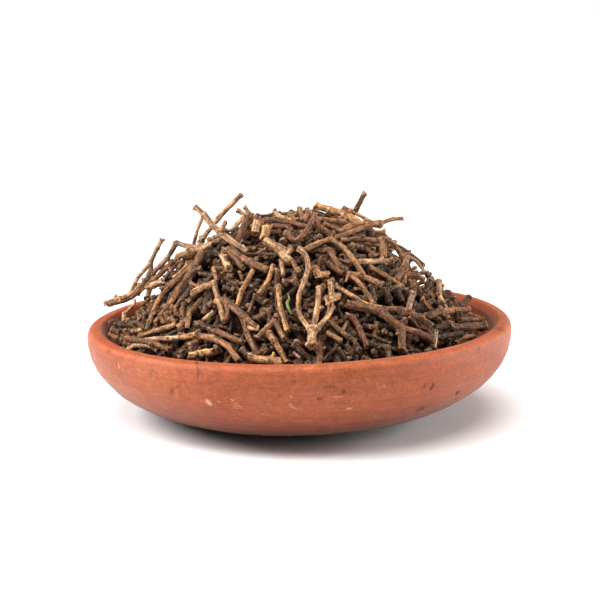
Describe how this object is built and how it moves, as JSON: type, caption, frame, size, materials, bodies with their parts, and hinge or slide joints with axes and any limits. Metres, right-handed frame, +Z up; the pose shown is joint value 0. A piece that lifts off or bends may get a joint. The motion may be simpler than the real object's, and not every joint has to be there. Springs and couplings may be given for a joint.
{
  "type": "bowl of clove stems",
  "caption": "Shallow round clay bowl, slightly tilted on its rounded base, heaped high with dried clove stems.",
  "frame": {"origin": "on the table, under the middle of the whole thing's outline", "axes": "+Z up; -Y towards the viewer of the picture; +X to the viewer's right"},
  "size_m": [0.13, 0.13, 0.0677],
  "materials": {
    "clay": "matte",
    "stems": "matte"
  },
  "bodies": {
    "root": {"bowl": "clay", "stems": "stems"}
  },
  "joints": []
}
